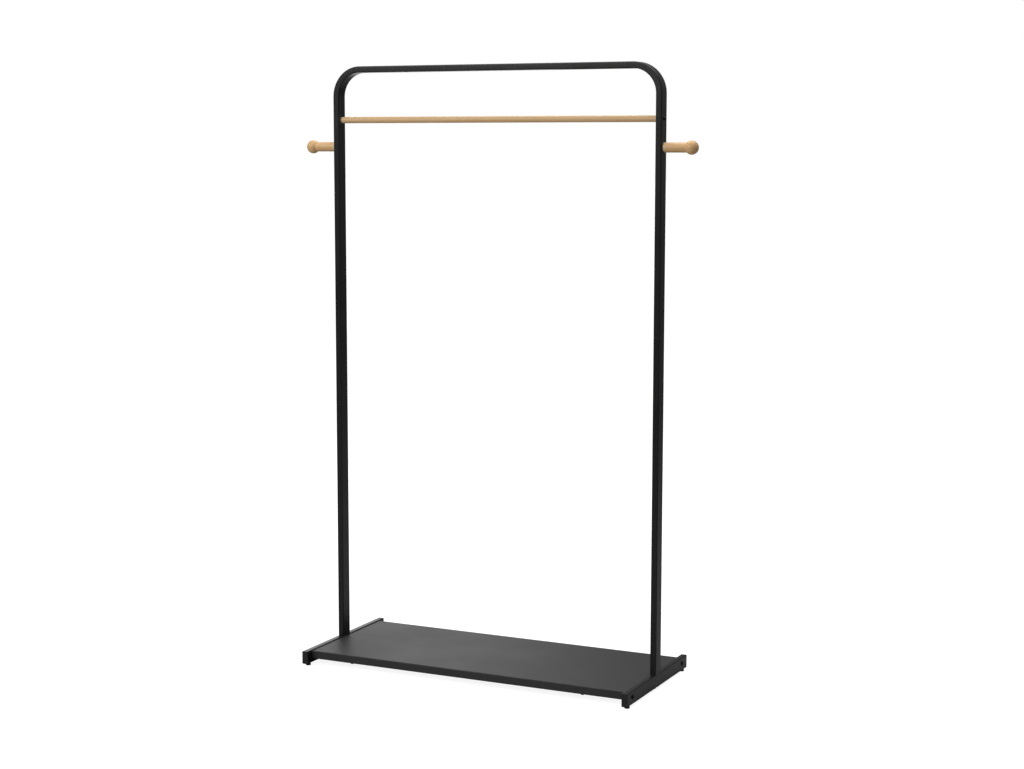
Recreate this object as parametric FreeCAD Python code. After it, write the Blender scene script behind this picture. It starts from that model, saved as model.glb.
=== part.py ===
import FreeCAD, Part
import os

# Standing coat rack: a bent tube hoop on two foot rails, with a folded steel deck between the
# rails, a wooden hanging rod under the top bar and a wooden peg on the outside of each upright.
# Millimetres. The origin is on the floor under the middle of the rack, +X to the right,
# +Y to the back and +Z up.

# ---- overall sizes ----
frame_width = 900.0          # over the outer faces of the uprights
frame_height = 1525.0        # floor to the top of the top bar
base_depth = 398.0           # front to back over the end caps

# ---- hoop tube ----
tube_width = 16.0            # across, in the plane of the hoop
tube_depth = 34.0            # front to back
tube_wall = 1.2
tube_corner = 2.5            # outside corner of the tube's section
bend_inner_radius = 60.0

# ---- foot rails ----
rail_width = tube_width      # the uprights stand flush on the rails
rail_height = 33.0
rail_wall = 1.5
rail_corner = 2.5
cap_flange = 1.5
cap_depth = 8.0
cap_wall = 1.5
cap_rounding = 0.5           # share of a cap's flange that is rounded over

# ---- levelling feet ----
foot_height = 6.0            # floor to the underside of the rails
foot_inset = 16.5            # end of the base to the foot's axis
pad_diameter = 13.0
pad_gap = 0.4                # between the pad and the rivet nut's flange
pad_edge = 1.0
foot_stud_rise = 21.0        # how far the stud stands above the underside of the rail
foot_head_diameter = 9.0
foot_head_height = 1.6

# ---- deck and cross tubes ----
deck_front_setback = 23.0    # end of the base to the deck's edge
deck_rear_setback = 25.0
deck_drop = 2.0              # rail top to deck top
deck_flange = 20.0
deck_sheet = 1.2
deck_bend = 2.0              # outside radius of the folds
corner_slit = 0.5            # gap between two folded flanges
cross_size = 15.0            # square tube
cross_wall = 1.2
cross_corner = 1.5
cross_nut_length = 12.0
deck_screw_x = 320.0         # middle of the deck to each deck screw
weld_nut_height = 3.8        # the deck stands on its weld nuts

# ---- hanging rod and pegs ----
rod_diameter = 16.0
rod_drop = 135.0             # top of the frame to the rod's axis
rod_chamfer = 1.0
peg_drop = 68.0              # rod's axis to the pegs' axis
peg_diameter = 24.0
peg_ball_diameter = 34.0
peg_ball_reach = 70.0        # outer face of the upright to the ball's centre
peg_chamfer = 1.2
peg_wood_thread = 25.0       # stud in the wood

# ---- fasteners ----
m6 = 6.0
m6_clearance = 6.6
thread_gap = 0.05            # all round, between a thread and its hole
m6_head_diameter = 10.5
m6_head_height = 2.6
m6_key = 4.0                 # hexagon socket, across flats
m5 = 5.0
m5_clearance = 5.5
m5_head_diameter = 9.5
m5_head_height = 3.4
m5_key = 3.0
weld_nut_flats = 8.0         # across flats
rivet_nut_body = 9.0
rivet_nut_flange = 11.0
rivet_nut_lip = 0.6
rivet_nut_length = 12.0
upright_plug_height = 14.0
upright_bolt_edge = 5.5      # end of the plug to the bolt's axis
wood_screw = 5.0
wood_screw_clearance = 5.4
wood_screw_grip = 29.0       # length in the rod
wood_screw_head_diameter = 9.0
wood_screw_head_height = 2.2
wood_screw_key = 3.0
slide_gap = 0.1              # all round, between a plug and its tube
recess_gap = 0.4             # all round, between the peg's recess and the rivet nut's flange
thread_end_gap = 0.5         # a screw's end to the far side of its nut or plug
nut_corner = 0.5             # corner of the square cross tube nuts
stud_chamfer = 0.8
head_rounding = 0.55         # share of a screw head's height that is rounded over
socket_share = 0.6           # share of a screw head's height that the socket takes
tip_share = 0.12             # share of a screw's diameter that its tip is chamfered by

# ---- modelling allowances ----
least_corner = 0.3           # smallest corner inside a tube
past = 1.0                   # how far a cutting shape runs past the piece that it cuts
near = 0.01                  # two places closer than this are the same

# ---- worked out from the sizes above ----
half_width = frame_width / 2
half_depth = base_depth / 2
upright_x = half_width - tube_width / 2
upright_inner_x = half_width - tube_width
rail_x = half_width - rail_width / 2
rail_inner_x = half_width - rail_width
rail_length = base_depth - 2 * cap_flange
rail_top = foot_height + rail_height
foot_y = half_depth - foot_inset
deck_top = rail_top - deck_drop
deck_front_y = -half_depth + deck_front_setback
deck_rear_y = half_depth - deck_rear_setback
deck_underside = deck_top - deck_sheet
cross_length = 2 * (rail_inner_x - deck_sheet)
cross_z = deck_underside - weld_nut_height - cross_size / 2
cross_front_y = deck_front_y + deck_sheet + cross_size / 2
cross_rear_y = deck_rear_y - deck_sheet - cross_size / 2
rod_z = frame_height - rod_drop
peg_z = rod_z - peg_drop
pad_height = foot_height - rivet_nut_lip - pad_gap
plug_width = tube_width - 2 * (tube_wall + slide_gap)
plug_depth = tube_depth - 2 * (tube_wall + slide_gap)
upright_bolt_y = plug_depth / 2 - upright_bolt_edge

UP = (0, 0, 1)
SIDES = (("left", -1), ("right", 1))
ENDS = (("front", -1), ("rear", 1))


# ---- shapes ----

def along(shape, point, direction=UP):
    """Turn a shape that was made along +Z to a direction, and move its origin to a point."""
    placed = shape.copy()
    turn = FreeCAD.Rotation(FreeCAD.Vector(*UP), FreeCAD.Vector(*direction))
    placed.Placement = FreeCAD.Placement(FreeCAD.Vector(*point), turn)
    return placed


def rounded_wire(width, depth, radius):
    """A rectangle with round corners in the XY plane, centred on the origin."""
    slab = Part.makeBox(width, depth, 1.0, FreeCAD.Vector(-width / 2, -depth / 2, 0))
    standing_edges = [e for e in slab.Edges if abs(e.tangentAt(e.FirstParameter).z) > 1 - near]
    rounded = slab.makeFillet(radius, standing_edges)
    bottom = [f for f in rounded.Faces if f.BoundBox.ZMax < near][0]
    return bottom.OuterWire


def tube_face(width, depth, wall, corner):
    outer = rounded_wire(width, depth, corner)
    inner = rounded_wire(width - 2 * wall, depth - 2 * wall, max(corner - wall, least_corner))
    return Part.makeFace([outer, inner], "Part::FaceMakerBullseye")


def solid_bar(width, depth, height, corner):
    """A bar of rounded rectangular section standing on the origin."""
    return Part.Face(rounded_wire(width, depth, corner)).extrude(FreeCAD.Vector(0, 0, height))


def cylinder(diameter, length, point=(0, 0, 0), direction=UP):
    return Part.makeCylinder(diameter / 2, length, FreeCAD.Vector(*point), FreeCAD.Vector(*direction))


def circle_edges(shape, height, radius):
    """The circular edges of a round shape at one height and radius."""
    found = []
    for edge in shape.Edges:
        curve = edge.Curve
        is_circle = isinstance(curve, Part.Circle)
        if is_circle and abs(curve.Center.z - height) < near and abs(curve.Radius - radius) < near:
            found.append(edge)
    return found


def hexagon(across_flats, height):
    corner = FreeCAD.Vector(across_flats / 3 ** 0.5, 0, 0)
    turns = [FreeCAD.Rotation(FreeCAD.Vector(*UP), 60 * k) for k in range(7)]
    wire = Part.makePolygon([turn.multVec(corner) for turn in turns])
    return Part.Face(wire).extrude(FreeCAD.Vector(0, 0, height))


def socket_screw(diameter, length, head_diameter, head_height, key):
    """A round-headed screw: its head stands above the origin and its shank runs down from it."""
    head = cylinder(head_diameter, head_height)
    rim = circle_edges(head, head_height, head_diameter / 2)
    head = head.makeFillet(head_height * head_rounding, rim)
    socket_depth = head_height * socket_share
    head = head.cut(along(hexagon(key, socket_depth + past), (0, 0, head_height - socket_depth)))
    shank = cylinder(diameter, length, (0, 0, -length))
    tip = diameter * tip_share
    shank = shank.makeChamfer(tip, circle_edges(shank, -length, diameter / 2))
    return head.fuse(shank).removeSplitter()


def rivet_nut():
    """A threaded insert: its flange stands above the origin and its body runs down from it."""
    body = cylinder(rivet_nut_body, rivet_nut_length, (0, 0, -rivet_nut_length))
    flange = cylinder(rivet_nut_flange, rivet_nut_lip)
    thread = cylinder(m6, rivet_nut_length + 2 * past, (0, 0, -rivet_nut_length - past / 2))
    return body.fuse(flange).cut(thread).removeSplitter()


def group(shapes):
    return Part.makeCompound(shapes)


# ---- hoop ----

def frame_hoop():
    """One tube bent into an upside-down U, drilled for the rod screws and the pegs."""
    face = tube_face(tube_width, tube_depth, tube_wall, tube_corner)
    bend_outer_radius = bend_inner_radius + tube_width
    bend_x = half_width - bend_outer_radius
    bend_z = frame_height - bend_outer_radius
    pieces = []
    for _, side in SIDES:
        foot = along(face, (side * upright_x, 0, rail_top))
        pieces.append(foot.extrude(FreeCAD.Vector(0, 0, bend_z - rail_top)))
        start = along(face, (side * upright_x, 0, bend_z))
        pieces.append(start.revolve(
            FreeCAD.Vector(side * bend_x, 0, bend_z), FreeCAD.Vector(0, -side, 0), 90))
    bar = along(face, (-bend_x, 0, frame_height - tube_width / 2), (1, 0, 0))
    pieces.append(bar.extrude(FreeCAD.Vector(2 * bend_x, 0, 0)))
    hoop = pieces[0].fuse(pieces[1:]).removeSplitter()
    for _, side in SIDES:
        inward = (-side, 0, 0)
        start = side * (half_width + past)
        hoop = hoop.cut(cylinder(wood_screw_clearance, tube_width + 2 * past, (start, 0, rod_z), inward))
        hoop = hoop.cut(cylinder(rivet_nut_body, tube_wall + 2 * past, (start, 0, peg_z), inward))
    return hoop


def upright_plug(side):
    """A steel block fixed in the foot of an upright, tapped for the bolts that come up the rail."""
    plug = along(solid_bar(plug_width, plug_depth, upright_plug_height, tube_corner - tube_wall),
                 (side * upright_x, 0, rail_top))
    for end in (-1, 1):
        hole_foot = (side * upright_x, end * upright_bolt_y, rail_top - past)
        plug = plug.cut(cylinder(m6, upright_plug_height + 2 * past, hole_foot))
    return plug


def upright_bolts():
    length = rail_height + upright_plug_height - thread_end_gap
    bolt = socket_screw(m6 - 2 * thread_gap, length, m6_head_diameter, m6_head_height, m6_key)
    return group([along(bolt, (side * upright_x, end * upright_bolt_y, foot_height), (0, 0, -1))
                  for _, side in SIDES for _, end in ENDS])


# ---- foot rails and feet ----

def foot_rail(side):
    face = tube_face(rail_width, rail_height, rail_wall, rail_corner)
    rail = along(face.extrude(FreeCAD.Vector(0, 0, rail_length)),
                 (side * rail_x, rail_length / 2, foot_height + rail_height / 2), (0, -1, 0))
    for _, end in ENDS:
        bolt_foot = (side * rail_x, end * upright_bolt_y, foot_height - past)
        rail = rail.cut(cylinder(m6_clearance, rail_height + 2 * past, bolt_foot))
        nut_foot = (side * rail_x, end * foot_y, foot_height - past)
        rail = rail.cut(cylinder(rivet_nut_body, rail_wall + 2 * past, nut_foot))
    for y in (cross_front_y, cross_rear_y):
        start = (side * (half_width + past), y, cross_z)
        rail = rail.cut(cylinder(m6_clearance, rail_width + 2 * past, start, (-side, 0, 0)))
    return rail


def end_cap(side, end):
    """A moulded cap: a flange over the end of the rail and a hollow spigot inside it."""
    spigot_width = rail_width - 2 * (rail_wall + slide_gap)
    spigot_height = rail_height - 2 * (rail_wall + slide_gap)
    spigot_corner = rail_corner - rail_wall
    flange = solid_bar(rail_width, rail_height, cap_flange, rail_corner)
    front = [e for e in flange.Edges if e.BoundBox.ZMin > cap_flange - near]
    flange = flange.makeFillet(cap_flange * cap_rounding, front)
    spigot = along(solid_bar(spigot_width, spigot_height, cap_depth, spigot_corner), (0, 0, -cap_depth))
    hollow = solid_bar(spigot_width - 2 * cap_wall, spigot_height - 2 * cap_wall, cap_depth,
                       cap_wall / 2)
    cap = flange.fuse(spigot.cut(along(hollow, (0, 0, -cap_depth))))
    return along(cap.removeSplitter(),
                 (side * rail_x, end * rail_length / 2, foot_height + rail_height / 2), (0, end, 0))


def foot_pad(side, end):
    """A round pad with a pocket that holds the head of its stud."""
    pad = cylinder(pad_diameter, pad_height)
    rims = circle_edges(pad, 0, pad_diameter / 2) + circle_edges(pad, pad_height, pad_diameter / 2)
    pad = pad.makeFillet(pad_edge, rims)
    pocket_floor = (pad_height - foot_head_height) / 2
    pad = pad.cut(cylinder(foot_head_diameter, foot_head_height, (0, 0, pocket_floor)))
    pad = pad.cut(cylinder(m6 - 2 * thread_gap, pad_height, (0, 0, pocket_floor)))
    return along(pad, (side * rail_x, end * foot_y, 0))


def foot_stud(side, end):
    """A threaded stud with a flat head that the pad is moulded round."""
    head_floor = (pad_height - foot_head_height) / 2
    head = cylinder(foot_head_diameter, foot_head_height, (0, 0, head_floor))
    length = foot_height + foot_stud_rise - head_floor
    shank = cylinder(m6 - 2 * thread_gap, length, (0, 0, head_floor))
    stud = head.fuse(shank).removeSplitter()
    top = circle_edges(stud, head_floor + length, m6 / 2 - thread_gap)
    return along(stud.makeChamfer(stud_chamfer, top), (side * rail_x, end * foot_y, 0))


def foot_rivet_nuts():
    return group([along(rivet_nut(), (side * rail_x, end * foot_y, foot_height), (0, 0, -1))
                  for _, side in SIDES for _, end in ENDS])


# ---- deck and cross tubes ----

def deck():
    """One sheet folded down on all four sides, with a hole for each cross bolt."""
    width = 2 * rail_inner_x
    depth = deck_rear_y - deck_front_y
    bottom = deck_top - deck_flange
    outside = Part.makeBox(width, depth, deck_flange,
                           FreeCAD.Vector(-rail_inner_x, deck_front_y, bottom))
    top_edges = [e for e in outside.Edges if e.BoundBox.ZMin > deck_top - near]
    outside = outside.makeFillet(deck_bend, top_edges)
    inside = Part.makeBox(width - 2 * deck_sheet, depth - 2 * deck_sheet, deck_flange - deck_sheet,
                          FreeCAD.Vector(-rail_inner_x + deck_sheet, deck_front_y + deck_sheet, bottom))
    under_edges = [e for e in inside.Edges if e.BoundBox.ZMin > deck_underside - near]
    inside = inside.makeFillet(deck_bend - deck_sheet, under_edges)
    tray = outside.cut(inside)
    slit_height = deck_flange - deck_bend
    for _, side in SIDES:
        slit_x = side * (rail_inner_x - deck_sheet / 2) - deck_sheet
        for slit_y in (deck_front_y + deck_sheet, deck_rear_y - deck_sheet - corner_slit):
            corner = FreeCAD.Vector(slit_x, slit_y, bottom)
            tray = tray.cut(Part.makeBox(2 * deck_sheet, corner_slit, slit_height, corner))
        for y in (cross_front_y, cross_rear_y):
            start = (side * (rail_inner_x + past), y, cross_z)
            tray = tray.cut(cylinder(m6_clearance, deck_sheet + 2 * past, start, (-side, 0, 0)))
    return tray


def cross_tube(y):
    face = tube_face(cross_size, cross_size, cross_wall, cross_corner)
    tube = face.extrude(FreeCAD.Vector(0, 0, cross_length))
    tube = along(tube, (-cross_length / 2, y, cross_z), (1, 0, 0))
    for _, side in SIDES:
        hole_foot = (side * deck_screw_x, y, cross_z - cross_size)
        tube = tube.cut(cylinder(m5_clearance, 2 * cross_size, hole_foot))
    return tube


def deck_screws():
    """Screws that come up through the cross tubes into the deck's weld nuts."""
    screw = socket_screw(m5 - 2 * thread_gap, cross_size + weld_nut_height - thread_end_gap,
                         m5_head_diameter, m5_head_height, m5_key)
    return group([along(screw, (side * deck_screw_x, y, cross_z - cross_size / 2), (0, 0, -1))
                  for _, side in SIDES for y in (cross_front_y, cross_rear_y)])


def deck_weld_nuts():
    nut = hexagon(weld_nut_flats, weld_nut_height)
    nut = nut.cut(cylinder(m5, weld_nut_height + 2 * past, (0, 0, -past)))
    return group([along(nut, (side * deck_screw_x, y, cross_z + cross_size / 2))
                  for _, side in SIDES for y in (cross_front_y, cross_rear_y)])


def cross_tube_nuts():
    """Square plugs fixed in the ends of the cross tubes and tapped for the cross bolts."""
    size = cross_size - 2 * (cross_wall + slide_gap)
    plug = solid_bar(size, size, cross_nut_length, nut_corner)
    plug = plug.cut(cylinder(m6, cross_nut_length + 2 * past, (0, 0, -past)))
    return group([along(plug, (side * cross_length / 2, y, cross_z), (-side, 0, 0))
                  for _, side in SIDES for y in (cross_front_y, cross_rear_y)])


def cross_bolts():
    length = rail_width + deck_sheet + cross_nut_length - thread_end_gap
    bolt = socket_screw(m6 - 2 * thread_gap, length, m6_head_diameter, m6_head_height, m6_key)
    return group([along(bolt, (side * half_width, y, cross_z), (side, 0, 0))
                  for _, side in SIDES for y in (cross_front_y, cross_rear_y)])


# ---- hanging rod and pegs ----

def hanging_rod():
    length = 2 * upright_inner_x
    dowel = cylinder(rod_diameter, length)
    ends = circle_edges(dowel, 0, rod_diameter / 2) + circle_edges(dowel, length, rod_diameter / 2)
    dowel = dowel.makeChamfer(rod_chamfer, ends)
    dowel = along(dowel, (-upright_inner_x, 0, rod_z), (1, 0, 0))
    for _, side in SIDES:
        start = (side * (upright_inner_x + past), 0, rod_z)
        dowel = dowel.cut(cylinder(wood_screw, wood_screw_grip + 2 * past, start, (-side, 0, 0)))
    return dowel


def rod_screws():
    screw = socket_screw(wood_screw - 2 * thread_gap, tube_width + wood_screw_grip,
                         wood_screw_head_diameter, wood_screw_head_height, wood_screw_key)
    return group([along(screw, (side * half_width, 0, rod_z), (side, 0, 0)) for _, side in SIDES])


def peg(side):
    """A turned dowel with a ball on its end, recessed at its root to sit flat over the rivet nut."""
    shaft = cylinder(peg_diameter, peg_ball_reach)
    shaft = shaft.makeChamfer(peg_chamfer, circle_edges(shaft, 0, peg_diameter / 2))
    ball = Part.makeSphere(peg_ball_diameter / 2, FreeCAD.Vector(0, 0, peg_ball_reach))
    turned = shaft.fuse(ball).removeSplitter()
    recess = cylinder(rivet_nut_flange + 2 * recess_gap, rivet_nut_lip + recess_gap)
    pilot = cylinder(m6, peg_wood_thread + past)
    return along(turned.cut(recess).cut(pilot), (side * half_width, 0, peg_z), (side, 0, 0))


def peg_studs():
    inside = rivet_nut_length - thread_end_gap
    length = inside + peg_wood_thread
    stud = cylinder(m6 - 2 * thread_gap, length, (0, 0, -inside))
    return group([along(stud, (side * half_width, 0, peg_z), (side, 0, 0)) for _, side in SIDES])


def peg_rivet_nuts():
    return group([along(rivet_nut(), (side * half_width, 0, peg_z), (side, 0, 0)) for _, side in SIDES])


# ---- all the pieces ----

def make_nodes():
    nodes = {
        "frame_hoop": frame_hoop(),
        "upright_bolts": upright_bolts(),
        "foot_rivet_nuts": foot_rivet_nuts(),
        "deck": deck(),
        "cross_tube_front": cross_tube(cross_front_y),
        "cross_tube_rear": cross_tube(cross_rear_y),
        "cross_tube_nuts": cross_tube_nuts(),
        "cross_bolts": cross_bolts(),
        "deck_screws": deck_screws(),
        "deck_weld_nuts": deck_weld_nuts(),
        "hanging_rod": hanging_rod(),
        "rod_screws": rod_screws(),
        "peg_studs": peg_studs(),
        "peg_rivet_nuts": peg_rivet_nuts(),
    }
    for side_name, side in SIDES:
        nodes["foot_rail_" + side_name] = foot_rail(side)
        nodes["upright_plug_" + side_name] = upright_plug(side)
        nodes["peg_" + side_name] = peg(side)
        for end_name, end in ENDS:
            corner_name = end_name + "_" + side_name
            nodes["end_cap_" + corner_name] = end_cap(side, end)
            nodes["foot_pad_" + corner_name] = foot_pad(side, end)
            nodes["foot_stud_" + corner_name] = foot_stud(side, end)
    return nodes


os.makedirs("parts", exist_ok=True)
for node_name, shape in make_nodes().items():
    shape.exportStep("parts/" + node_name + ".step")
    print(node_name, len(shape.Solids), "solids", round(shape.Volume), "mm3", "valid", shape.isValid())
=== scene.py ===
from math import acos, pi, radians, sin, sqrt

import bmesh
import bpy
from mathutils import Matrix, Vector


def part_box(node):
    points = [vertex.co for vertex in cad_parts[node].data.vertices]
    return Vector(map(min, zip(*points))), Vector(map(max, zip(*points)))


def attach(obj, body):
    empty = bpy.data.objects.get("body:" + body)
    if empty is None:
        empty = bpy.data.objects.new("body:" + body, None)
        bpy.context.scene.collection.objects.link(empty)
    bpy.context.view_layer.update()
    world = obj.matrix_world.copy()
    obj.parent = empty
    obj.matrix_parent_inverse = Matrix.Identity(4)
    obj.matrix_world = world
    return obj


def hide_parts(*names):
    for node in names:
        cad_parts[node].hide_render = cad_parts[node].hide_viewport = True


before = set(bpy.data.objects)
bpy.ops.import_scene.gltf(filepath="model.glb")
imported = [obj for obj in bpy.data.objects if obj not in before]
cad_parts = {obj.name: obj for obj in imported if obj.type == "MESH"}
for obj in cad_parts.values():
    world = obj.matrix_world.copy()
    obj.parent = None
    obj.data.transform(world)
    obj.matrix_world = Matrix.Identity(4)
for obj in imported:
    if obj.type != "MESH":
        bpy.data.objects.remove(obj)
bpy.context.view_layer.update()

# A standing coat rack: a bent black hoop on two foot rails, a folded steel deck between them,
# a beech hanging rod and two turned beech pegs. Metres, +Z up, the front is -Y.

SIDES = (("left", -1), ("right", 1))
ENDS = (("front", -1), ("rear", 1))
UP = Vector((0, 0, 1))

# ---- sizes of the pieces that their boxes don't give ----
tube_wall = 0.0012
tube_corner = 0.0025
bend_inner_radius = 0.060
rail_wall = 0.0015
rail_corner = 0.0025
cap_flange = 0.0015
cap_wall = 0.0015
fit_gap = 0.0001             # between a plug and the tube round it
cross_wall = 0.0012
cross_corner = 0.0015
deck_sheet = 0.0012
deck_bend = 0.002
deck_slit = 0.0005           # between two folded flanges at a corner
rod_chamfer = 0.001
peg_chamfer = 0.0012
peg_diameter = 0.024
peg_recess_diameter = 0.0118
peg_recess_depth = 0.001
upright_x = 0.442            # middle of the rack to the middle of an upright
highlight_reach = 0.0120       # middle of an upright to where the painted highlight on the wood stops
highlight_fade = 0.0040
# painted highlight: the pale tone where the wood's chamfers by the uprights catch the light
chamfer_highlight_tone = (0.86, 0.68, 0.42, 1)
m6 = 0.006
thread_pitch = 0.001
thread_depth = 0.00055
foot_head_diameter = 0.009
foot_head_height = 0.0016
pad_edge = 0.001
pad_pocket_share = 0.3       # share of the pad's height that the stud's pocket takes
thread_gap = 0.00005         # all round, between a thread and its hole
root_end = 0.2               # along one pitch: the root's end, then the crest's two ends
crest_start = 0.5
crest_end = 0.7
cap_rounding = 0.5           # share of a cap's flange that is rounded over
slit_reach = deck_slit * 0.6  # how near to a slit's middle a face is cut out
socket_rim_share = 0.62      # socket's round mouth to the key's size
socket_share = 0.6           # share of a screw head's height that the socket takes
socket_lip = 0.00015         # head's top to the top of the hexagon
tip_share = 0.12             # share of a screw's diameter that its tip is chamfered by
head_rounding = 0.55         # share of a screw head's height that is rounded over
head_foot_rounding = 0.08

# ---- screws: thread, length, head across, head height, key ----
upright_screw = (0.0059, 0.045, 0.0105, 0.0026, 0.004)
brace_screw = (0.0059, 0.0282, 0.0105, 0.0026, 0.004)
deck_screw = (0.0049, 0.0183, 0.0095, 0.0034, 0.003)
dowel_screw = (0.0049, 0.045, 0.009, 0.0022, 0.003)

# ---- how finely the meshes are made ----
corner_steps = 5
bend_steps = 20
dowel_steps = 64
ball_steps = 28
screw_steps = 24
thread_steps = 24
pad_steps = 48
stud_head_steps = 32
same_place = 1e-6            # two points closer than this are one
weld_distance = 1e-7
place_digits = 6
square_on = 0.9              # a normal's share along an axis, above which a face looks that way
sharp_angle = 35.0


# ---- mesh helpers ----

def free_edges(geometry):
    """The edges of an extrusion's open end."""
    return [e for e in geometry if isinstance(e, bmesh.types.BMEdge) and e.is_boundary]


def free_verts(geometry):
    return [v for v in geometry if isinstance(v, bmesh.types.BMVert)]


def section_ring(bm, width, depth, corner, wall, place):
    """Starts a mesh with the cut end of a rounded rectangular tube, and gives the end's edges."""
    made = bmesh.ops.create_grid(bm, x_segments=1, y_segments=1, size=0.5)["verts"]
    bmesh.ops.scale(bm, vec=(width, depth, 1), verts=made)
    bmesh.ops.bevel(bm, geom=made, offset=corner, segments=corner_steps, profile=0.5,
                    affect="VERTICES", material=-1)
    middle = bm.faces[:]
    bmesh.ops.inset_region(bm, faces=middle, thickness=wall, use_even_offset=True, use_boundary=True)
    bmesh.ops.delete(bm, geom=middle, context="FACES_ONLY")
    bmesh.ops.transform(bm, matrix=place, verts=bm.verts)
    return free_edges(bm.edges)


def run_straight(bm, edges, step):
    """Draws a section's edges out by a step and gives the edges of the new end."""
    drawn = bmesh.ops.extrude_edge_only(bm, edges=edges)["geom"]
    bmesh.ops.translate(bm, vec=step, verts=free_verts(drawn))
    return free_edges(drawn)


def run_bend(bm, edges, centre, axis, angle, steps):
    """Bends a section's edges round a centre and gives the edges of the new end."""
    verts = list({v for e in edges for v in e.verts})
    bent = bmesh.ops.spin(bm, geom=verts + edges, cent=centre, axis=axis, angle=angle, steps=steps)
    return free_edges(bent["geom_last"])


def close_tube(bm, edges):
    """Joins the inner and outer edges of a tube's last end, and turns its faces outwards."""
    bmesh.ops.bridge_loops(bm, edges=edges)
    bmesh.ops.recalc_face_normals(bm, faces=bm.faces)


def straight_tube(width, depth, corner, wall, place, length):
    """A tube along its placed Z axis."""
    bm = bmesh.new()
    start = section_ring(bm, width, depth, corner, wall, place)
    close_tube(bm, run_straight(bm, start, place.to_3x3() @ Vector((0, 0, length))))
    return bm


def turned(bm, outline, steps):
    """Turns an outline of (radius, height) points round the Z axis."""
    verts = [bm.verts.new((radius, 0, height)) for radius, height in outline]
    edges = [bm.edges.new(pair) for pair in zip(verts, verts[1:])]
    spin_round(bm, verts + edges, steps)


def spin_round(bm, geometry, steps):
    bmesh.ops.spin(bm, geom=geometry, cent=(0, 0, 0), axis=UP, angle=2 * pi, steps=steps, use_merge=True)
    bmesh.ops.remove_doubles(bm, verts=bm.verts, dist=weld_distance)


def rim_edges(bm, radius, height):
    """The edges of one circle of a turned shape."""
    def on_rim(vert):
        off_circle = abs(vert.co.xy.length - radius)
        return abs(vert.co.z - height) < same_place and off_circle < same_place
    return [e for e in bm.edges if on_rim(e.verts[0]) and on_rim(e.verts[1])]


def soften(bm, edges, size, segments):
    bmesh.ops.bevel(bm, geom=edges, offset=size, segments=segments, profile=0.5,
                    affect="EDGES", material=-1, clamp_overlap=True)


def facing(direction, place):
    """The matrix that turns a shape's +Z to a direction and puts its origin at a place."""
    turn = UP.rotation_difference(Vector(direction)).to_matrix().to_4x4()
    return Matrix.Translation(place) @ turn


def add_copy(target, source, place):
    """Adds a placed copy of one mesh to another."""
    mesh = bpy.data.meshes.new("copy")
    source.to_mesh(mesh)
    mesh.transform(place)
    target.from_mesh(mesh)
    bpy.data.meshes.remove(mesh)


def make_piece(name, bm, material, body, slot, *nodes):
    """Turns a finished mesh into a piece that stands for its CAD nodes."""
    bmesh.ops.recalc_face_normals(bm, faces=bm.faces)
    mesh = bpy.data.meshes.new(name)
    bm.to_mesh(mesh)
    bm.free()
    mesh.shade_smooth()
    mesh.set_sharp_from_angle(angle=radians(sharp_angle))
    mesh.materials.append(material)
    piece = bpy.data.objects.new(name, mesh)
    bpy.context.scene.collection.objects.link(piece)
    weights = piece.modifiers.new("face_weights", "WEIGHTED_NORMAL")
    weights.keep_sharp = True
    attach(piece, body)
    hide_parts(*nodes)


# ---- shader helpers ----

def add_node(tree, kind, settings=None, **inputs):
    """Adds a node, sets its settings, and feeds or sets its inputs by name."""
    made = tree.nodes.new(kind)
    for key, value in (settings or {}).items():
        setattr(made, key, value)
    for key, value in inputs.items():
        socket = find_input(made, key)
        if isinstance(value, bpy.types.NodeSocket):
            tree.links.new(value, socket)
        else:
            socket.default_value = value
    return made


def find_input(made, key):
    """An input by its name with _ for spaces, or by its number as in input_2."""
    if key.startswith("input_"):
        return made.inputs[int(key[6:])]
    return made.inputs[key.replace("_", " ")]


def new_group(name, inputs, outputs):
    """A shader group with named inputs, (name, kind, value), and outputs, (name, kind)."""
    group = bpy.data.node_groups.new(name, "ShaderNodeTree")
    for label, kind, value in inputs:
        socket = group.interface.new_socket(label, in_out="INPUT", socket_type="NodeSocket" + kind)
        socket.default_value = value
    for label, kind in outputs:
        group.interface.new_socket(label, in_out="OUTPUT", socket_type="NodeSocket" + kind)
    return group, group.nodes.new("NodeGroupInput").outputs, group.nodes.new("NodeGroupOutput").inputs


def place_group(tree, group, **inputs):
    return add_node(tree, "ShaderNodeGroup", {"node_tree": group}, **inputs).outputs


def noise(tree, vector, scale, detail=2.0, roughness=0.5):
    return add_node(tree, "ShaderNodeTexNoise", None, Vector=vector, Scale=scale,
                    Detail=detail, Roughness=roughness).outputs["Fac"]


def ramp(tree, value, low, high, to_low=0.0, to_high=1.0):
    """Stretches a value from one range to another."""
    return add_node(tree, "ShaderNodeMapRange", None, Value=value, From_Min=low, From_Max=high,
                    To_Min=to_low, To_Max=to_high).outputs["Result"]


def calc(tree, operation, first, second=0.0):
    return add_node(tree, "ShaderNodeMath", {"operation": operation},
                    input_0=first, input_1=second).outputs["Value"]


def mix_colour(tree, factor, first, second):
    return add_node(tree, "ShaderNodeMix", {"data_type": "RGBA"},
                    input_0=factor, input_6=first, input_7=second).outputs[2]


def squeezed(tree, vector, scale):
    """Object coordinates scaled by axis, so that a pattern runs along one of them."""
    return add_node(tree, "ShaderNodeMapping", None, Vector=vector, Scale=scale).outputs["Vector"]


def object_place(tree):
    return add_node(tree, "ShaderNodeTexCoord").outputs["Object"]


def new_material(name):
    material = bpy.data.materials.new(name)
    material.use_nodes = True
    return material, material.node_tree, material.node_tree.nodes["Principled BSDF"]


def feed(tree, shader, **sources):
    """Feeds or sets the shader's sockets by name."""
    for key, value in sources.items():
        socket = shader.inputs[key.replace("_", " ")]
        if isinstance(value, bpy.types.NodeSocket):
            tree.links.new(value, socket)
        else:
            socket.default_value = value


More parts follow.
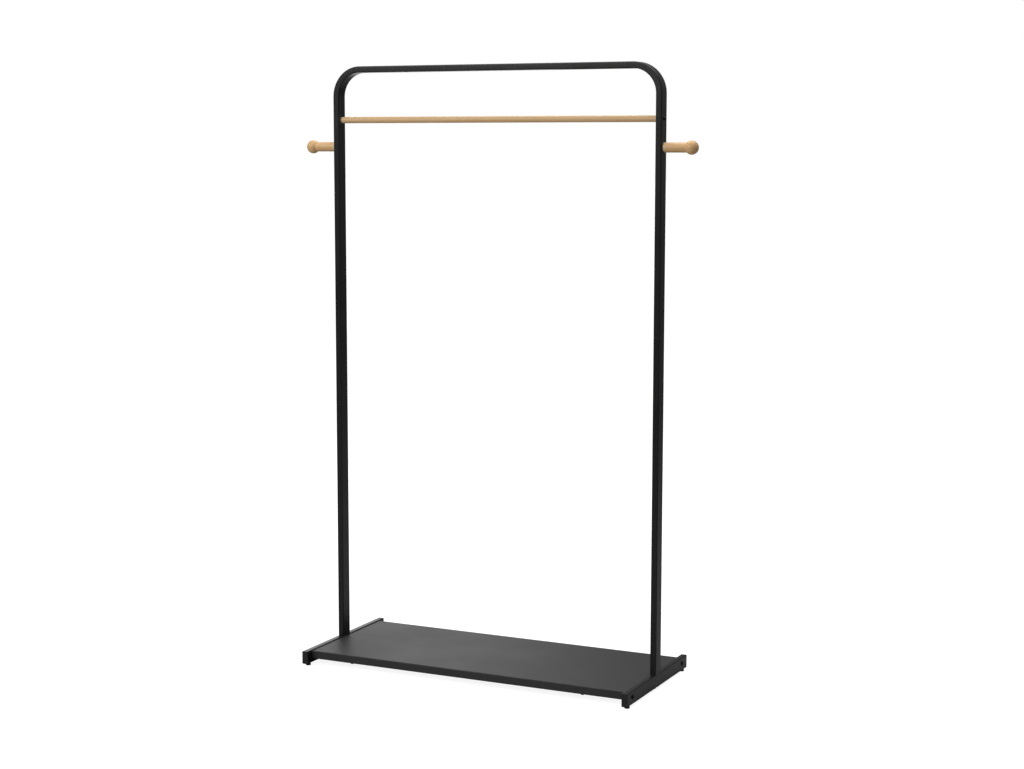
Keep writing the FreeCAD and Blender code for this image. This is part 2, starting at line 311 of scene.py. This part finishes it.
def emboss(tree, shader, height, distance):
    bump = add_node(tree, "ShaderNodeBump", None, Height=height, Distance=distance, Strength=1.0)
    tree.links.new(bump.outputs["Normal"], shader.inputs["Normal"])


def grey(level):
    return (level, level, level, 1.0)


# ---- shader groups ----

def make_cured_powder():
    """Baked powder: a fine pebbled skin over slow swells, with a faint change of tone."""
    speck_share = 0.3
    pebble_in_roughness = 0.25
    pebble_in_height = 0.35
    swell_in_height = 0.65
    group, given, result = new_group(
        "cured_powder",
        [("Vector", "Vector", (0, 0, 0)), ("Pebble", "Float", 1600.0), ("Swell", "Float", 90.0),
         ("Deep Tone", "Color", grey(0.01)), ("Pale Tone", "Color", grey(0.02)),
         ("Smooth", "Float", 0.35), ("Rough", "Float", 0.5)],
        [("Color", "Color"), ("Roughness", "Float"), ("Height", "Float")])
    pebble = noise(group, given["Vector"], given["Pebble"], detail=3.0)
    swell = noise(group, given["Vector"], given["Swell"])
    cloud = noise(group, given["Vector"], scale=7.0, detail=4.0, roughness=0.6)
    fleck = noise(group, given["Vector"], scale=650.0, detail=1.0)
    speck = ramp(group, fleck, low=0.62, high=0.70)
    tone = calc(group, "ADD", ramp(group, cloud, low=0.3, high=0.7, to_high=0.7),
                calc(group, "MULTIPLY", speck, speck_share))
    group.links.new(mix_colour(group, tone, given["Deep Tone"], given["Pale Tone"]), result["Color"])
    spread = calc(group, "ADD", ramp(group, cloud, low=0.35, high=0.65, to_high=0.75),
                  calc(group, "MULTIPLY", pebble, pebble_in_roughness))
    rough = add_node(group, "ShaderNodeMix", None, input_0=spread, input_2=given["Smooth"],
                     input_3=given["Rough"]).outputs[0]
    group.links.new(rough, result["Roughness"])
    height = calc(group, "ADD", calc(group, "MULTIPLY", pebble, pebble_in_height),
                  calc(group, "MULTIPLY", swell, swell_in_height))
    group.links.new(height, result["Height"])
    return group


def make_edge_wear_and_sheen():
    """How far a place is on a convex edge, broken up in patches: partly wear from handling, partly a
    painted sheen along the edges.
    """
    group, given, result = new_group(
        "edge_wear_and_sheen",
        [("Vector", "Vector", (0, 0, 0)), ("Width", "Float", 0.001), ("Amount", "Float", 0.5)],
        [("Mask", "Float")])
    rounded = add_node(group, "ShaderNodeBevel", {"samples": 4}, Radius=given["Width"]).outputs["Normal"]
    true_normal = add_node(group, "ShaderNodeNewGeometry").outputs["Normal"]
    match = add_node(group, "ShaderNodeVectorMath", {"operation": "DOT_PRODUCT"},
                     input_0=rounded, input_1=true_normal).outputs["Value"]
    edge = ramp(group, match, low=0.995, high=0.90)
    blotch = noise(group, given["Vector"], scale=60.0, detail=4.0, roughness=0.65)
    patches = ramp(group, blotch, low=0.42, high=0.62)
    worn = calc(group, "MULTIPLY", calc(group, "MULTIPLY", edge, patches), given["Amount"])
    group.links.new(worn, result["Mask"])
    return group


def make_beech_grain():
    """Steamed beech along X: year rings, fine fibres and the short dark rays of the wood."""
    late_sharpness = 2.2
    late_share = 0.55
    fibre_share = 0.45
    ray_share = 0.4
    ray_depth = 0.5
    group, given, result = new_group(
        "beech_grain",
        [("Vector", "Vector", (0, 0, 0)), ("Pale Wood", "Color", grey(0.5)),
         ("Late Wood", "Color", grey(0.4)), ("Ray Wood", "Color", grey(0.2)),
         ("Ring Scale", "Float", 210.0)],
        [("Color", "Color"), ("Roughness", "Float"), ("Height", "Float")])
    wander = noise(group, squeezed(group, given["Vector"], (3, 25, 25)), scale=1.0)
    bent = add_node(group, "ShaderNodeVectorMath", {"operation": "SCALE"},
                    input_0=(0.0, 0.004, 0.007), Scale=wander).outputs["Vector"]
    place = add_node(group, "ShaderNodeVectorMath", {"operation": "ADD"},
                     input_0=given["Vector"], input_1=bent).outputs["Vector"]
    rings = add_node(group, "ShaderNodeTexWave",
                     {"wave_type": "RINGS", "rings_direction": "X", "wave_profile": "SAW"},
                     Vector=place, Scale=given["Ring Scale"], Distortion=0.6, Detail=1.0).outputs["Fac"]
    late = calc(group, "POWER", rings, late_sharpness)
    fibre = noise(group, squeezed(group, given["Vector"], (6, 500, 500)),
                  scale=1.0, detail=3.0, roughness=0.6)
    ray = noise(group, squeezed(group, given["Vector"], (220, 1900, 1500)), scale=1.0, detail=1.0)
    ray_mask = ramp(group, ray, low=0.64, high=0.72)
    tone = calc(group, "ADD", calc(group, "MULTIPLY", late, late_share),
                ramp(group, fibre, low=0.3, high=0.7, to_high=fibre_share))
    wood = mix_colour(group, tone, given["Pale Wood"], given["Late Wood"])
    stained = mix_colour(group, calc(group, "MULTIPLY", ray_mask, ray_share), wood, given["Ray Wood"])
    group.links.new(stained, result["Color"])
    rough = ramp(group, tone, low=0.0, high=1.0, to_low=0.42, to_high=0.56)
    group.links.new(rough, result["Roughness"])
    height = calc(group, "SUBTRACT", fibre, calc(group, "MULTIPLY", ray_mask, ray_depth))
    group.links.new(height, result["Height"])
    return group


def make_plated_metal():
    """Plated steel: cloudy plating over a fine grit."""
    group, given, result = new_group(
        "plated_metal",
        [("Vector", "Vector", (0, 0, 0)), ("Bright", "Color", grey(0.7)), ("Dull", "Color", grey(0.5)),
         ("Smooth", "Float", 0.25), ("Rough", "Float", 0.45)],
        [("Color", "Color"), ("Roughness", "Float"), ("Height", "Float")])
    cloud = noise(group, given["Vector"], scale=240.0, detail=4.0, roughness=0.6)
    grit = noise(group, given["Vector"], scale=3200.0)
    spread = ramp(group, cloud, low=0.35, high=0.68)
    group.links.new(mix_colour(group, spread, given["Bright"], given["Dull"]), result["Color"])
    rough = add_node(group, "ShaderNodeMix", None, input_0=spread, input_2=given["Smooth"],
                     input_3=given["Rough"]).outputs[0]
    group.links.new(rough, result["Roughness"])
    group.links.new(grit, result["Height"])
    return group


def make_moulded_skin():
    """Moulded plastic: a spark-eroded grain with faint flow marks."""
    group, given, result = new_group(
        "moulded_skin",
        [("Vector", "Vector", (0, 0, 0)), ("Deep Tone", "Color", grey(0.01)),
         ("Pale Tone", "Color", grey(0.02)), ("Grain", "Float", 2600.0)],
        [("Color", "Color"), ("Roughness", "Float"), ("Height", "Float")])
    grain = noise(group, given["Vector"], given["Grain"], detail=3.0)
    flow = noise(group, given["Vector"], scale=120.0, detail=3.0)
    spread = ramp(group, flow, low=0.3, high=0.7)
    group.links.new(mix_colour(group, spread, given["Deep Tone"], given["Pale Tone"]), result["Color"])
    rough = ramp(group, flow, low=0.3, high=0.7, to_low=0.46, to_high=0.6)
    group.links.new(rough, result["Roughness"])
    group.links.new(grain, result["Height"])
    return group


cured_powder = make_cured_powder()
edge_wear_and_sheen = make_edge_wear_and_sheen()
beech_grain = make_beech_grain()
plated_metal = make_plated_metal()
moulded_skin = make_moulded_skin()


# ---- materials ----

rub_polish = 0.1             # how much smoother an edge is


def powder_coat(name, deep, pale, wear_and_sheen_tone, smooth, rough, pebble, gloss_index):
    material, tree, shader = new_material(name)
    place = object_place(tree)
    skin = place_group(tree, cured_powder, Vector=place, Pebble=pebble, Deep_Tone=deep, Pale_Tone=pale,
                       Smooth=smooth, Rough=rough)
    edge = place_group(tree, edge_wear_and_sheen, Vector=place, Width=0.0012, Amount=0.35)["Mask"]
    # paler edges: partly wear, partly a painted sheen
    colour = mix_colour(tree, edge, skin["Color"], wear_and_sheen_tone)
    roughness = calc(tree, "SUBTRACT", skin["Roughness"], calc(tree, "MULTIPLY", edge, rub_polish))
    feed(tree, shader, Base_Color=colour, Roughness=roughness, IOR=gloss_index)
    emboss(tree, shader, skin["Height"], distance=0.00006)
    return material


def painted_chamfer_highlight(tree):
    """Painted highlight: one next to an upright, at the rod's ends and the pegs' roots, where the chamfers
    catch the light, fading along the wood.
    """
    across = add_node(tree, "ShaderNodeSeparateXYZ", None, Vector=object_place(tree)).outputs["X"]
    from_upright = calc(tree, "ABSOLUTE", calc(tree, "SUBTRACT", calc(tree, "ABSOLUTE", across), upright_x))
    return ramp(tree, from_upright, highlight_reach, highlight_reach + highlight_fade, 1.0, 0.0)


def beech(name, pale, late, ray, pith, ring_scale):
    material, tree, shader = new_material(name)
    moved = add_node(tree, "ShaderNodeMapping", None, Vector=object_place(tree), Location=pith)
    wood = place_group(tree, beech_grain, Vector=moved.outputs["Vector"], Pale_Wood=pale,
                       Late_Wood=late, Ray_Wood=ray, Ring_Scale=ring_scale)
    # the wood's colour, with a painted highlight by the uprights where the chamfers catch the light
    feed(tree, shader, Base_Color=mix_colour(tree, painted_chamfer_highlight(tree), wood["Color"], chamfer_highlight_tone),
         Roughness=wood["Roughness"], IOR=1.45)
    shader.inputs["Coat Weight"].default_value = 0.12
    shader.inputs["Coat Roughness"].default_value = 0.35
    emboss(tree, shader, wood["Height"], distance=0.00005)
    return material


def plated(name, bright, dull, smooth, rough):
    material, tree, shader = new_material(name)
    skin = place_group(tree, plated_metal, Vector=object_place(tree), Bright=bright, Dull=dull,
                       Smooth=smooth, Rough=rough)
    feed(tree, shader, Base_Color=skin["Color"], Roughness=skin["Roughness"], Metallic=1.0)
    emboss(tree, shader, skin["Height"], distance=0.00002)
    return material


def moulded(name, deep, pale, wear_and_sheen_tone, grain):
    material, tree, shader = new_material(name)
    place = object_place(tree)
    skin = place_group(tree, moulded_skin, Vector=place, Deep_Tone=deep, Pale_Tone=pale, Grain=grain)
    edge = place_group(tree, edge_wear_and_sheen, Vector=place, Width=0.0006, Amount=0.3)["Mask"]
    # paler edges: partly wear, partly a painted sheen
    feed(tree, shader, Base_Color=mix_colour(tree, edge, skin["Color"], wear_and_sheen_tone),
         Roughness=skin["Roughness"], IOR=1.46)
    emboss(tree, shader, skin["Height"], distance=0.00003)
    return material


frame_black = powder_coat("frame_black", deep=grey(0.008), pale=grey(0.013), wear_and_sheen_tone=grey(0.035),
                          smooth=0.26, rough=0.34, pebble=1500.0, gloss_index=1.42)
deck_black = powder_coat("deck_black", deep=grey(0.024), pale=grey(0.033), wear_and_sheen_tone=grey(0.06),
                         smooth=0.46, rough=0.54, pebble=1200.0, gloss_index=1.5)
rod_beech = beech("rod_beech", pale=(0.87, 0.59, 0.31, 1), late=(0.79, 0.49, 0.23, 1),
                  ray=(0.54, 0.30, 0.12, 1), pith=(0, 0.055, -1.33), ring_scale=60.0)
peg_beech = beech("peg_beech", pale=(0.87, 0.56, 0.27, 1), late=(0.79, 0.46, 0.20, 1),
                  ray=(0.54, 0.29, 0.11, 1), pith=(0, 0.03, -1.345), ring_scale=75.0)
zinc = plated("bright_zinc", bright=(0.72, 0.74, 0.76, 1), dull=(0.50, 0.52, 0.54, 1),
              smooth=0.24, rough=0.46)
screw_black = plated("blackened_steel", bright=grey(0.035), dull=grey(0.018), smooth=0.32, rough=0.5)
cap_black = moulded("cap_moulding", deep=grey(0.010), pale=grey(0.016), wear_and_sheen_tone=grey(0.05), grain=2400.0)
pad_black = moulded("pad_moulding", deep=grey(0.008), pale=grey(0.014), wear_and_sheen_tone=grey(0.05), grain=3000.0)


# ---- hoop ----

def build_hoop():
    """One tube bent into an upside-down U, open at its two feet."""
    low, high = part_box("frame_hoop")
    width = high.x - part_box("foot_rail_right")[0].x
    depth = high.y - low.y
    bend_radius = bend_inner_radius + width
    bend_x = high.x - bend_radius
    bend_z = high.z - bend_radius
    bm = bmesh.new()
    foot = Matrix.Translation((low.x + width / 2, 0, low.z))
    edges = section_ring(bm, width, depth, tube_corner, tube_wall, foot)
    edges = run_straight(bm, edges, (0, 0, bend_z - low.z))
    edges = run_bend(bm, edges, (-bend_x, 0, bend_z), (0, 1, 0), pi / 2, bend_steps)
    edges = run_straight(bm, edges, (2 * bend_x, 0, 0))
    edges = run_bend(bm, edges, (bend_x, 0, bend_z), (0, 1, 0), pi / 2, bend_steps)
    edges = run_straight(bm, edges, (0, 0, low.z - bend_z))
    close_tube(bm, edges)
    make_piece("bent_hoop", bm, frame_black, "rack", "black_powder_coat", "frame_hoop")


build_hoop()


# ---- foot rails and end caps ----

def build_rail(side_name):
    node = "foot_rail_" + side_name
    low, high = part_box(node)
    middle = (low + high) / 2
    width, length, height = high - low
    place = facing((0, 1, 0), (middle.x, low.y, middle.z))
    bm = straight_tube(width, height, rail_corner, rail_wall, place, length)
    make_piece("rail_" + side_name, bm, frame_black, "rack", "black_powder_coat", node)


def rounded_block(width, depth, height, corner):
    """A bar of rounded rectangular section standing on the origin."""
    bm = bmesh.new()
    made = bmesh.ops.create_cube(bm, size=1.0)["verts"]
    bmesh.ops.translate(bm, vec=(0, 0, 0.5), verts=made)
    bmesh.ops.scale(bm, vec=(width, depth, height), verts=made)
    standing = [e for e in bm.edges if abs(e.verts[0].co.z - e.verts[1].co.z) > height / 2]
    soften(bm, standing, corner, corner_steps)
    return bm


def build_cap(end_name, end, side_name):
    """A moulded flange with a softened face and a hollow spigot inside the rail."""
    node = f"end_cap_{end_name}_{side_name}"
    low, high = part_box(node)
    middle = (low + high) / 2
    width = high.x - low.x
    height = high.z - low.z
    bm = rounded_block(width, height, cap_flange, rail_corner)
    front = [f for f in bm.faces if f.normal.z > square_on]
    soften(bm, [e for f in front for e in f.edges], cap_flange * cap_rounding, segments=3)
    back = min(bm.faces, key=lambda f: f.calc_center_median().z)
    bmesh.ops.inset_region(bm, faces=[back], thickness=rail_wall + fit_gap, use_even_offset=True)
    spigot_depth = high.y - low.y - cap_flange
    spigot = bmesh.ops.extrude_face_region(bm, geom=[back])["geom"]
    bmesh.ops.delete(bm, geom=[back], context="FACES_ONLY")
    bmesh.ops.translate(bm, vec=(0, 0, -spigot_depth), verts=free_verts(spigot))
    tip = [f for f in spigot if isinstance(f, bmesh.types.BMFace)]
    bmesh.ops.inset_region(bm, faces=tip, thickness=cap_wall, use_even_offset=True)
    hollow = bmesh.ops.extrude_face_region(bm, geom=tip)["geom"]
    bmesh.ops.delete(bm, geom=tip, context="FACES_ONLY")
    bmesh.ops.translate(bm, vec=(0, 0, spigot_depth), verts=free_verts(hollow))
    outer_y = low.y + cap_flange if end < 0 else high.y - cap_flange
    bmesh.ops.transform(bm, matrix=facing((0, end, 0), (middle.x, outer_y, middle.z)), verts=bm.verts)
    make_piece(f"cap_{end_name}_{side_name}", bm, cap_black, "rack", "cap_plastic", node)


for side_name, _ in SIDES:
    build_rail(side_name)
    for end_name, end in ENDS:
        build_cap(end_name, end, side_name)


# ---- deck and cross tubes ----

def build_deck():
    """One sheet folded down on all four sides, slit where two flanges meet."""
    low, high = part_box("deck")
    size = high - low
    bm = bmesh.new()
    made = bmesh.ops.create_cube(bm, size=1.0)["verts"]
    bmesh.ops.scale(bm, vec=size, verts=made)
    bmesh.ops.translate(bm, vec=(low + high) / 2, verts=made)
    bmesh.ops.delete(bm, geom=[f for f in bm.faces if f.normal.z < -square_on], context="FACES_ONLY")
    folds = [e for e in bm.edges if min(v.co.z for v in e.verts) > high.z - same_place]
    soften(bm, folds, deck_bend, corner_steps)
    slit_top = high.z - deck_bend
    for y in (low.y + deck_sheet, low.y + deck_sheet + deck_slit,
              high.y - deck_sheet, high.y - deck_sheet - deck_slit):
        bmesh.ops.bisect_plane(bm, geom=bm.verts[:] + bm.edges[:] + bm.faces[:], dist=weld_distance,
                               plane_co=(0, y, 0), plane_no=(0, 1, 0))
    slits = []
    for face in bm.faces:
        centre = face.calc_center_median()
        in_slit = any(abs(centre.y - y) < slit_reach
                      for y in (low.y + deck_sheet + deck_slit / 2, high.y - deck_sheet - deck_slit / 2))
        if in_slit and abs(face.normal.x) > square_on and centre.z < slit_top:
            slits.append(face)
    bmesh.ops.delete(bm, geom=slits, context="FACES")
    bmesh.ops.solidify(bm, geom=bm.faces[:], thickness=deck_sheet)
    make_piece("folded_deck", bm, deck_black, "rack", "deck_powder_coat", "deck")


def build_cross_tube(end_name):
    node = "cross_tube_" + end_name
    low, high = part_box(node)
    middle = (low + high) / 2
    place = facing((1, 0, 0), (low.x, middle.y, middle.z))
    bm = straight_tube(high.z - low.z, high.y - low.y, cross_corner, cross_wall, place, high.x - low.x)
    make_piece("brace_" + end_name, bm, frame_black, "rack", "black_powder_coat", node)


build_deck()
for end_name, _ in ENDS:
    build_cross_tube(end_name)


# ---- hanging rod and pegs ----

def build_rod():
    """A round dowel with chamfered ends that butt against the uprights."""
    low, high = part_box("hanging_rod")
    radius = (high.z - low.z) / 2
    length = high.x - low.x
    bm = bmesh.new()
    bmesh.ops.create_circle(bm, cap_ends=True, segments=dowel_steps, radius=radius)
    end = bmesh.ops.extrude_face_region(bm, geom=bm.faces[:])["geom"]
    bmesh.ops.translate(bm, vec=(0, 0, length), verts=free_verts(end))
    soften(bm, rim_edges(bm, radius, 0) + rim_edges(bm, radius, length), rod_chamfer, segments=2)
    bmesh.ops.transform(bm, matrix=facing((1, 0, 0), (low.x, 0, (low.z + high.z) / 2)), verts=bm.verts)
    make_piece("hanging_dowel", bm, rod_beech, "rack", "rod_wood", "hanging_rod")


def build_peg(side_name, side):
    """A dowel turned in one piece with the ball on its end, recessed at its root."""
    node = "peg_" + side_name
    low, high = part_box(node)
    ball_radius = (high.z - low.z) / 2
    peg_radius = peg_diameter / 2
    reach = high.x - low.x - ball_radius
    meet_angle = acos(peg_radius / ball_radius)
    bm = bmesh.new()
    outline = [(0, peg_recess_depth), (peg_recess_diameter / 2, peg_recess_depth),
               (peg_recess_diameter / 2, 0), (peg_radius - peg_chamfer, 0), (peg_radius, peg_chamfer),
               (peg_radius, reach - ball_radius * sin(meet_angle))]
    verts = [bm.verts.new((radius, 0, height)) for radius, height in outline]
    for pair in zip(verts, verts[1:]):
        bm.edges.new(pair)
    bmesh.ops.spin(bm, geom=[verts[-1]], cent=(0, 0, reach), axis=(0, -1, 0),
                   angle=pi / 2 + meet_angle, steps=ball_steps)
    spin_round(bm, bm.verts[:] + bm.edges[:], dowel_steps)
    root_x = high.x if side < 0 else low.x
    bmesh.ops.transform(bm, matrix=facing((side, 0, 0), (root_x, 0, (low.z + high.z) / 2)), verts=bm.verts)
    make_piece(f"turned_peg_{side_name}", bm, peg_beech, "rack", "peg_wood", node)


build_rod()
for side_name, side in SIDES:
    build_peg(side_name, side)


# ---- screws ----

def socket_screw(diameter, length, head_diameter, head_height, key):
    """A round-headed screw with a hexagon socket: its head stands above the origin."""
    bm = bmesh.new()
    radius = diameter / 2
    head_radius = head_diameter / 2
    socket_rim = key * socket_rim_share
    socket_depth = head_height * socket_share
    tip = diameter * tip_share
    turned(bm, [(socket_rim, head_height), (head_radius, head_height), (head_radius, 0), (radius, 0),
                (radius, tip - length), (radius - tip, -length), (0, -length)], screw_steps)
    soften(bm, rim_edges(bm, head_radius, head_height), head_height * head_rounding, corner_steps)
    soften(bm, rim_edges(bm, head_radius, 0), head_height * head_foot_rounding, segments=1)
    rim = rim_edges(bm, socket_rim, head_height)
    turned_edges = set(bm.edges)
    hexagon = bmesh.ops.create_circle(bm, segments=6, radius=key / sqrt(3))["verts"]
    bmesh.ops.translate(bm, vec=(0, 0, head_height - socket_lip), verts=hexagon)
    bmesh.ops.subdivide_edges(bm, edges=[e for e in bm.edges if e not in turned_edges], cuts=3)
    sides = [e for e in bm.edges if e not in turned_edges]
    bmesh.ops.bridge_loops(bm, edges=rim + sides)
    floor = run_straight(bm, sides, (0, 0, -socket_depth))
    bmesh.ops.contextual_create(bm, geom=floor)
    return bm


def build_screws(name, node, material, screw_size, directions):
    """A set of four or two equal screws, at the corners of the CAD node's box."""
    low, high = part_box(node)
    bm = bmesh.new()
    diameter, length, head_diameter, head_height, key = screw_size
    screw = socket_screw(diameter, length, head_diameter, head_height, key)
    head_radius = head_diameter / 2
    for direction in directions:
        along_x = direction[0] != 0
        ys = {round(low.y + head_radius, place_digits), round(high.y - head_radius, place_digits)}
        for y in sorted(ys):
            if along_x:
                x = high.x - head_height if direction[0] > 0 else low.x + head_height
                add_copy(bm, screw, facing(direction, (x, y, (low.z + high.z) / 2)))
            else:
                for x in (low.x + head_radius, high.x - head_radius):
                    add_copy(bm, screw, facing(direction, (x, y, low.z + head_height)))
    screw.free()
    make_piece(name, bm, material, "rack", "black_screws", node)


outward = ((-1, 0, 0), (1, 0, 0))
downward = ((0, 0, -1),)
build_screws("upright_screws", "upright_bolts", screw_black, upright_screw, downward)
build_screws("brace_screws", "cross_bolts", screw_black, brace_screw, outward)
build_screws("deck_fixings", "deck_screws", screw_black, deck_screw, downward)
build_screws("dowel_screws", "rod_screws", frame_black, dowel_screw, outward)


# ---- levelling feet ----

def build_pad(end_name, side_name):
    """A moulded round pad with softened rims and a pocket in its top for the stud."""
    node = f"foot_pad_{end_name}_{side_name}"
    low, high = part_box(node)
    radius = (high.x - low.x) / 2
    height = high.z - low.z
    bore = m6 / 2
    bm = bmesh.new()
    turned(bm, [(bore, height), (radius, height), (radius, 0), (0, 0)], pad_steps)
    soften(bm, rim_edges(bm, radius, height) + rim_edges(bm, radius, 0), pad_edge, corner_steps)
    mouth = rim_edges(bm, bore, height)
    pocket = run_straight(bm, mouth, (0, 0, -height * pad_pocket_share))
    bmesh.ops.contextual_create(bm, geom=pocket)
    middle = (low + high) / 2
    bmesh.ops.translate(bm, vec=(middle.x, middle.y, low.z), verts=bm.verts)
    make_piece(f"nylon_pad_{end_name}_{side_name}", bm, pad_black, f"foot_{end_name}_{side_name}",
               "pad_nylon", node)


def build_stud(end_name, side_name):
    """A threaded stud: a zigzag flank wound once round while it climbs by one pitch, on a flat head."""
    node = f"foot_stud_{end_name}_{side_name}"
    low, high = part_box(node)
    outer = m6 / 2 - thread_gap
    root = outer - thread_depth
    height = high.z - low.z
    turns = int(height / thread_pitch) + 2
    bm = bmesh.new()
    verts = []
    for turn in range(turns):
        foot = (turn - 1) * thread_pitch
        for radius, part in ((root, 0.0), (root, root_end), (outer, crest_start), (outer, crest_end)):
            verts.append(bm.verts.new((radius, 0, foot + part * thread_pitch)))
    edges = [bm.edges.new(pair) for pair in zip(verts, verts[1:])]
    bmesh.ops.spin(bm, geom=verts + edges, cent=(0, 0, 0), axis=UP, angle=2 * pi, steps=thread_steps,
                   dvec=(0, 0, thread_pitch / thread_steps))
    bmesh.ops.remove_doubles(bm, verts=bm.verts, dist=same_place)
    for z, outer_side in ((0.0, False), (height, True)):
        cut = bmesh.ops.bisect_plane(bm, geom=bm.verts[:] + bm.edges[:] + bm.faces[:], dist=weld_distance,
                                     plane_co=(0, 0, z), plane_no=(0, 0, 1),
                                     clear_outer=outer_side, clear_inner=not outer_side)
        rim = [e for e in cut["geom_cut"] if isinstance(e, bmesh.types.BMEdge)]
        bmesh.ops.holes_fill(bm, edges=rim, sides=0)
    head = bmesh.new()
    head_radius = foot_head_diameter / 2
    turned(head, [(0, 0), (head_radius, 0), (head_radius, foot_head_height), (0, foot_head_height)],
           stud_head_steps)
    add_copy(bm, head, Matrix())
    head.free()
    middle = (low + high) / 2
    bmesh.ops.translate(bm, vec=(middle.x, middle.y, low.z), verts=bm.verts)
    make_piece(f"foot_thread_{end_name}_{side_name}", bm, zinc, f"foot_{end_name}_{side_name}",
               "zinc_plate", node)


for side_name, _ in SIDES:
    for end_name, _ in ENDS:
        build_pad(end_name, side_name)
        build_stud(end_name, side_name)


# ---- hidden steel pieces ----

for node in ("foot_rivet_nuts", "peg_rivet_nuts", "peg_studs", "cross_tube_nuts", "deck_weld_nuts",
             "upright_plug_left", "upright_plug_right"):
    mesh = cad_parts[node].data
    for slot_number in range(len(mesh.materials)):
        mesh.materials[slot_number] = zinc


# ---- studio ----

def build_floor():
    """A pale floor that glows to the eye, up to white away from the rack."""
    tone = 0.40
    near_glow = 0.90
    glow_starts = 0.6
    glow_full = 2.4
    bm = bmesh.new()
    bmesh.ops.create_grid(bm, x_segments=1, y_segments=1, size=60.0)
    mesh = bpy.data.meshes.new("studio_floor")
    bm.to_mesh(mesh)
    bm.free()
    material, tree, shader = new_material("pale_floor")
    feed(tree, shader, Base_Color=grey(tone), Roughness=0.9)
    shader.inputs["Specular IOR Level"].default_value = 0.0
    shader.inputs["Emission Color"].default_value = grey(1.0)
    away = add_node(tree, "ShaderNodeVectorMath", {"operation": "LENGTH"}, input_0=object_place(tree))
    glow = ramp(tree, away.outputs["Value"], glow_starts, glow_full, to_low=near_glow)
    seen = add_node(tree, "ShaderNodeLightPath").outputs["Is Camera Ray"]
    tree.links.new(calc(tree, "MULTIPLY", seen, glow), shader.inputs["Emission Strength"])
    mesh.materials.append(material)
    floor = bpy.data.objects.new("studio_floor", mesh)
    bpy.context.scene.collection.objects.link(floor)


def add_panel(name, place, target, width, height, brightness):
    """A soft light panel of an even brightness, turned to a target and unseen itself."""
    light = bpy.data.lights.new(name, "AREA")
    light.shape = "RECTANGLE"
    light.size = width
    light.size_y = height
    light.energy = brightness * pi * width * height
    panel = bpy.data.objects.new(name, light)
    bpy.context.scene.collection.objects.link(panel)
    panel.location = place
    direction = Vector(target) - Vector(place)
    panel.rotation_euler = direction.to_track_quat("-Z", "Y").to_euler()
    panel.visible_camera = False


def build_world(brightness, back_brightness):
    """White behind the rack to the eye, and a dim room to the light on it, darker at the back."""
    back_starts = -0.2
    back_full = 0.6
    world = bpy.data.worlds.new("studio_room")
    world.use_nodes = True
    tree = world.node_tree
    tree.nodes.clear()
    seen = add_node(tree, "ShaderNodeLightPath").outputs["Is Camera Ray"]
    towards = add_node(tree, "ShaderNodeTexCoord").outputs["Generated"]
    back = add_node(tree, "ShaderNodeSeparateXYZ", None, Vector=towards).outputs["Y"]
    room_light = ramp(tree, back, back_starts, back_full, brightness, back_brightness)
    room = add_node(tree, "ShaderNodeBackground", None, Color=grey(1.0), Strength=room_light)
    white = add_node(tree, "ShaderNodeBackground", None, Color=grey(1.0), Strength=1.0)
    mixed = add_node(tree, "ShaderNodeMixShader", None, input_0=seen,
                     input_1=room.outputs["Background"], input_2=white.outputs["Background"])
    output = tree.nodes.new("ShaderNodeOutputWorld")
    tree.links.new(mixed.outputs["Shader"], output.inputs["Surface"])
    bpy.context.scene.world = world


def build_camera():
    data = bpy.data.cameras.new("camera")
    data.sensor_width = 36.0
    data.lens = 68.02
    camera = bpy.data.objects.new("camera", data)
    bpy.context.scene.collection.objects.link(camera)
    camera.location = (2.12543, -4.32891, 1.33033)
    azimuth = radians(25.6095)
    pitch = radians(7.0922)
    roll = radians(0.0666)
    turn = (Matrix.Rotation(azimuth, 3, "Z") @ Matrix.Rotation(pi / 2 - pitch, 3, "X")
            @ Matrix.Rotation(roll, 3, "Z"))
    camera.rotation_euler = turn.to_euler()
    bpy.context.scene.camera = camera


build_floor()
build_world(brightness=0.24, back_brightness=0.18)
add_panel("back_left_panel", place=(-2.25, 2.2, 1.1), target=(-0.9, 0, 0.8),
          width=2.6, height=2.0, brightness=1.05)
add_panel("overhead_panel", place=(0.2, 0.7, 3.2), target=(0.1, 0, 0),
          width=3.0, height=2.4, brightness=2.5)
add_panel("front_panel", place=(-1.9, -3.6, 3.0), target=(0, 0, 0.9),
          width=2.4, height=1.7, brightness=6.6)
build_camera()
bpy.context.scene.view_settings.view_transform = "Standard"
